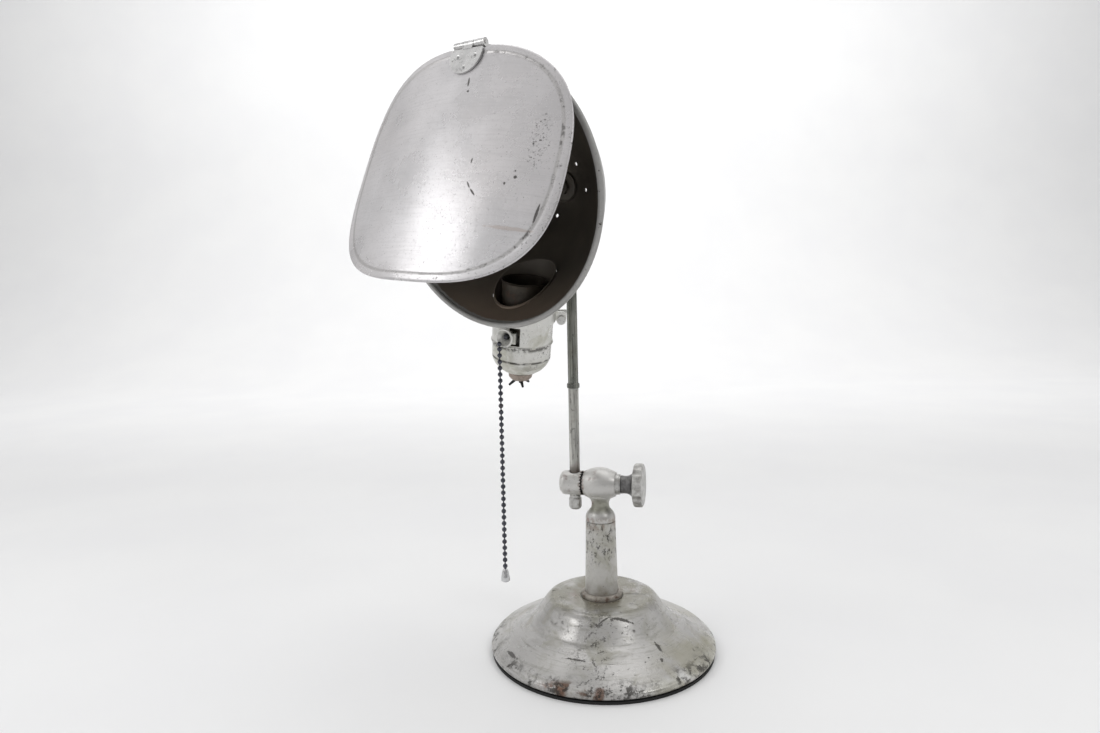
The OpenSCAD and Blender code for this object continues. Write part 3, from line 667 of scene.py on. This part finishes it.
# ---------- which finish each node has ----------
FINISHES = {
    "base": paint(
        "base_old_silver_paint",
        (0.47, 0.46, 0.447),
        metallic=0.42,
        rough=0.28,
        chips=0.95,
        dirt=0.55,
        streaks=0.6,
        dirt_colour=(0.28, 0.27, 0.21),
        streak=(0.35, 1, 1),
        marks=base_marks,
        seed=0.11,
    ),
    "post": paint(
        "post_old_silver_paint",
        (0.52, 0.51, 0.485),
        metallic=0.4,
        rough=0.36,
        chips=1.1,
        dirt=0.5,
        streaks=0.6,
        streak=(1, 1, 0.3),
        edge=0.0006,
        marks=post_marks,
        seed=0.31,
    ),
    "clamp": paint(
        "clamp_old_silver_paint",
        (0.60, 0.59, 0.57),
        metallic=0.4,
        rough=0.34,
        chips=0.8,
        dirt=0.4,
        streaks=0.3,
        edge=0.0006,
        marks=clamp_marks,
        seed=0.53,
    ),
    "socket": paint(
        "holder_old_silver_paint",
        (0.70, 0.695, 0.665),
        metallic=0.45,
        rough=0.29,
        chips=1.0,
        dirt=0.5,
        streaks=0.3,
        dirt_colour=(0.36, 0.35, 0.25),
        marks=socket_marks,
        cover=holder_cover,
        seed=0.77,
    ),
    "bowl": paint(
        "bowl_old_silver_paint",
        (0.36, 0.355, 0.345),
        metallic=0.5,
        rough=0.40,
        chips=0.75,
        dirt=0.25,
        streaks=0.5,
        dirt_colour=(0.25, 0.24, 0.20),
        cover=bowl_cover,
        seed=0.91,
    ),
    "flap": paint(
        "flap_old_silver_paint",
        (0.60, 0.588, 0.598),
        metallic=0.5,
        rough=0.29,
        chips=0.12,
        dirt=0.06,
        streaks=0.12,
        dirt_colour=(0.50, 0.47, 0.45),
        marks=flap_marks,
        seed=1.13,
    ),
    "inside": bowl_inside(),
    "lower": rod_finish("lower_rod_worn_steel", (0.40, 0.395, 0.37), 0.25, 0.2),
    "upper": rod_finish("upper_rod_dark_steel", (0.225, 0.23, 0.205), 0.12, 0.6),
    "plated": steel(
        "plated_steel_tarnished", (0.50, 0.495, 0.48), 0.7, 0.36, rust=0.3, dark=0.5, seed=0.4, edge=0.0004
    ),
    "hinge": steel(
        "hinge_plated_steel", (0.62, 0.615, 0.61), 0.85, 0.28, rust=0.12, dark=0.6, seed=0.9, edge=0.0003
    ),
    "foot": steel("foot_ring_rusty_steel", (0.36, 0.33, 0.29), 0.5, 0.45, rust=0.9, dark=0.5, seed=1.4),
    "knob": knob_finish(),
    "chain": steel(
        "ball_chain_dark_steel", (0.085, 0.088, 0.105), 0.85, 0.27, rust=0.25, dark=0.35, seed=0.2
    ),
    "pull": steel("bell_pull_plated", (0.62, 0.62, 0.63), 0.85, 0.2, rust=0.1, dark=0.8, seed=0.5),
    "brass": steel(
        "screw_shell_dull_brass", (0.055, 0.045, 0.034), 0.5, 0.42, rust=0.4, dark=0.5, seed=0.7
    ),
    "iron": plain("weight_cast_iron", (0.05, 0.05, 0.052), 0.7, 500, metallic=0.4),
    "pad": plain("pad_black_rubber", (0.012, 0.012, 0.012), 0.75, 800),
    "plastic": plain("holder_brown_plastic", (0.035, 0.028, 0.022), 0.45, 300),
    "bushing": plain("bushing_faded_plastic", (0.33, 0.27, 0.23), 0.55, 400),
    "fibre": plain("liner_brown_fibre", (0.10, 0.065, 0.04), 0.8, 600),
    "wire": plain("wire_black_rubber", (0.012, 0.012, 0.013), 0.6, 900),
}

USES = {
    "base": ["base_shell"],
    "post": ["post_tube"],
    "clamp": ["swivel_head", "clamp_barrel"],
    "socket": ["socket_shell", "socket_cap", "neck_collar", "bell_mouth", "switch_block"],
    "lower": ["lower_rod"],
    "hinge": ["hinge_leaf_bowl", "hinge_leaf_flap", "hinge_pin", "bowl_rivets", "flap_rivets"],
    "foot": ["foot_ring"],
    "upper": ["upper_rod", "joint_ring"],
    "plated": [
        "tie_rod",
        "tie_washer",
        "tie_nut",
        "post_spigot",
        "draw_bolt",
        "clamp_washer",
        "rod_eye",
        "tilt_screw",
        "tilt_nut",
        "bowl_bracket",
        "collar_screw",
        "rod_end_cap",
    ],
    "bowl": ["bowl_shell"],
    "inside": ["dished_washer", "stud_nut", "bowl_stud"],
    "knob": ["clamp_knob"],
    "chain": ["chain_lead", "chain_link", "ball_chain"],
    "pull": ["bell_pull"],
    "brass": ["screw_shell", "centre_contact"],
    "iron": ["base_weight"],
    "pad": ["base_pad"],
    "plastic": ["lamp_holder"],
    "bushing": ["cap_bushing"],
    "fibre": ["socket_liner"],
    "wire": ["wire_stubs"],
}

HARD_ANGLE = math.radians(32)


def soften(obj):
    """Smooth shading with hard edges kept: the CAD faces come apart, so they are joined first."""
    for p in obj.data.polygons:
        p.use_smooth = True
    join = obj.modifiers.new("join_faces", "WELD")
    join.merge_threshold = 1e-6
    split = obj.modifiers.new("hard_edges", "EDGE_SPLIT")
    split.split_angle = HARD_ANGLE
    split.use_edge_sharp = False
    obj.modifiers.new("even_normals", "WEIGHTED_NORMAL")


for finish, names in USES.items():
    for name in names:
        NODES[name].data.materials.clear()
        NODES[name].data.materials.append(FINISHES[finish])
        soften(NODES[name])


def darken_inside(shell):
    """The lampholder's shell is painted outside only: its inner wall and its upper edge are dark."""
    outer_r, edge_rise = 0.0191, 0.0245
    shell.data.materials.append(FINISHES["inside"])
    for p in shell.data.polygons:
        off = p.center - HOLDER_AT
        rise = off.dot(HOLDER_AXIS)
        out = off - HOLDER_AXIS * rise
        if p.normal.dot(out) < 0 or out.length < outer_r or rise > edge_rise:
            p.material_index = 1


darken_inside(NODES["socket_shell"])


# ---------- flap ----------
OUTLINE_POINTS = 320
FINE_POINTS = 4000
LEAF_HALF = 0.0124  # half width of the hinge's leaf, where the top edge stands back
LEAF_RELIEF = 0.0014
HEM_WIDTH, HEM_HEIGHT = 0.0056, 0.00034
WAVES = ((19, 3.7, 0.00022), (55, 9.1, 0.00005))  # noise scale, layer and height of the sheet's unevenness


def ramp(t):
    t = max(0.0, min(1.0, t))
    return t * t * (3 - 2 * t)


def flap_outline():
    """Evenly spaced points round the superellipse, standing back under the hinge's leaf."""
    fine = []
    for k in range(FINE_POINTS):
        a = 2 * math.pi * k / FINE_POINTS
        u = math.copysign(abs(math.cos(a)) ** (2 / FLAP_POWER), math.cos(a))
        v = math.copysign(abs(math.sin(a)) ** (2 / FLAP_POWER), math.sin(a))
        x = FLAP_X + FLAP_HALF * u * (1 - 0.02 * v)  # a little wider below
        fine.append(Vector((x, FLAP_Z + FLAP_LENGTH / 2 * v)))
    steps = [(fine[k] - fine[k - 1]).length for k in range(FINE_POINTS)]
    total = sum(steps)
    edge, run = [], 0.0
    for here, step in zip(fine, steps):
        run += step
        if run >= total * len(edge) / OUTLINE_POINTS and len(edge) < OUTLINE_POINTS:
            edge.append(here.copy())
    for p in edge:
        if p.y > -0.01:
            back = LEAF_RELIEF * ramp((LEAF_HALF - abs(p.x)) / 0.0009)
            p.y = min(p.y, FLAP_TOP - back)
    return edge


def on_sheet(x, z, out):
    """A place on the bent, slightly uneven sheet, out from its middle face."""
    wave = sum(noise.noise(Vector((x * scale, z * scale, layer))) * high for scale, layer, high in WAVES)
    d = Vector((x, -math.sqrt(FLAP_CURVE * FLAP_CURVE - x * x))) / FLAP_CURVE
    p = Vector((0, FLAP_CURVE)) + d * (FLAP_CURVE + out + wave)
    return HINGE + FLAP_FRAME @ Vector((p.x, p.y, z))


def sheet_level(q, gap, front):
    """How far a face stands out at q, with the hem raised and the edge rounded over gap."""
    clear = 1.0 if q.y < -0.02 else ramp((abs(q.x) - 0.0108) / 0.0012)
    lip = HEM_HEIGHT * ramp((HEM_WIDTH - gap) / 0.0019) * clear
    out, rounding = (HALF_SHEET + lip, 0.0007) if front else (-HALF_SHEET + 0.5 * lip, 0.0005)
    return out * math.sqrt(1 - (1 - min(1.0, gap / rounding)) ** 2)


def flap_sheet():
    """The flap as one sheet: rings from its middle to its edge, on the front and on the back."""
    edge = flap_outline()
    middle = Vector((FLAP_X, FLAP_Z))
    # fractions of the way to the edge, closer together across the hem
    rings = [0.06 + 0.84 * k / 20 for k in range(21)]
    rings += [0.918, 0.926, 0.932, 0.938, 0.946, 0.96, 0.975, 0.986, 0.993, 0.998, 1.0]
    b = bmesh.new()
    rims = []
    for front in (True, False):
        layer = []
        for t in rings:
            ring = []
            for p in edge:
                q = middle + (p - middle) * t
                level = sheet_level(q, (p - q).length, front)
                ring.append(b.verts.new(on_sheet(q.x, q.y, level)))
            layer.append(ring)
        hub = b.verts.new(on_sheet(middle.x, middle.y, HALF_SHEET if front else -HALF_SHEET))
        for k in range(OUTLINE_POINTS):
            j = (k + 1) % OUTLINE_POINTS
            a, c = (j, k) if front else (k, j)
            b.faces.new((hub, layer[0][a], layer[0][c]))
            for low, high in zip(layer, layer[1:]):
                quad = (low[k], low[j], high[j], high[k])
                b.faces.new(quad if front else quad[::-1])
        rims += layer[-1]
    bmesh.ops.remove_doubles(b, verts=rims, dist=1e-6)
    bmesh.ops.recalc_face_normals(b, faces=b.faces)
    data = bpy.data.meshes.new("flap_sheet")
    b.to_mesh(data)
    b.free()
    for p in data.polygons:
        p.use_smooth = True
    obj = bpy.data.objects.new("flap_sheet", data)
    bpy.context.collection.objects.link(obj)
    data.materials.append(FINISHES["flap"])
    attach(obj, "flap")
    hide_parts("flap_plate")


flap_sheet()


# ---------- floor and light ----------
def sweep():
    """Pale paper sweep: a flat floor that curves up far behind the lamp."""
    half_width, near, bend_start, bend_r, top = 5, -3.0, 1.6, 0.9, 4.0
    away, side = from_camera(0, 1, 0).normalized(), from_camera(1, 0, 0).normalized()
    line = [(near, 0.0)]
    for k in range(17):
        a = math.pi / 2 * k / 16
        line.append((bend_start + bend_r * math.sin(a), bend_r - bend_r * math.cos(a)))
    line.append((bend_start + bend_r, top))
    verts, faces = [], []
    for d, z in line:
        for s in (-half_width, half_width):
            verts.append(tuple(away * d + side * s + Vector((0, 0, z))))
    for k in range(len(line) - 1):
        faces.append((2 * k, 2 * k + 1, 2 * k + 3, 2 * k + 2))
    data = bpy.data.meshes.new("paper_sweep")
    data.from_pydata(verts, [], faces)
    obj = bpy.data.objects.new("paper_sweep", data)
    bpy.context.collection.objects.link(obj)
    for p in data.polygons:
        p.use_smooth = True
    f = Finish("white_paper", specular=0.2)
    colour = f.mix(f.patches(0.3, 0.7, 5, 3, 0.5), (0.84, 0.84, 0.845), (0.86, 0.86, 0.86))
    data.materials.append(f.finish(colour, 0.85))


sweep()


def area(name, place, aim, size, power):
    """A flat light of size across and up, power in watts; place and aim are as from_camera takes them."""
    light = bpy.data.lights.new(name, "AREA")
    light.shape = "RECTANGLE"
    light.size, light.size_y = size
    light.energy = power
    obj = bpy.data.objects.new(name, light)
    bpy.context.collection.objects.link(obj)
    obj.location = from_camera(*place)
    ray = from_camera(*aim) - obj.location
    obj.rotation_euler = ray.to_track_quat("-Z", "Y").to_euler()


area("key_left", (-0.70, -0.27, 0.65), (0, 0, 0.16), (0.34, 0.16), 0.70)
area("fill_right", (0.66, -0.64, 0.90), (0, 0, 0.1), (0.25, 0.25), 1.2)
area("top", (0.0, 0.1, 1.9), (0, 0, 0.1), (1.6, 1.6), 8)
area("wall_wash", (0.0, 1.0, 1.7), (0, 2.4, 1.3), (3.5, 0.4), 29)


def room_light(pale, dim):
    """White paper behind and above, fading to a dimmer room on the camera's side."""
    world = bpy.data.worlds.new("studio")
    bpy.context.scene.world = world
    world.use_nodes = True
    room = world.node_tree
    facing = room.nodes.new("ShaderNodeVectorMath")
    facing.operation = "DOT_PRODUCT"
    facing.inputs[1].default_value = tuple(from_camera(0.36, -0.93, 0))
    room.links.new(room.nodes.new("ShaderNodeTexCoord").outputs["Generated"], facing.inputs[0])
    fade = room.nodes.new("ShaderNodeMapRange")
    fade.interpolation_type = "SMOOTHSTEP"
    fade.inputs["From Min"].default_value = 0.1
    fade.inputs["From Max"].default_value = 0.95
    fade.inputs["To Min"].default_value = pale
    fade.inputs["To Max"].default_value = dim
    room.links.new(facing.outputs["Value"], fade.inputs["Value"])
    room.links.new(fade.outputs["Result"], room.nodes["Background"].inputs["Strength"])
    room.nodes["Background"].inputs["Color"].default_value = (1, 1, 1, 1)


room_light(0.86, 0.30)
bpy.context.scene.view_settings.view_transform = "Standard"
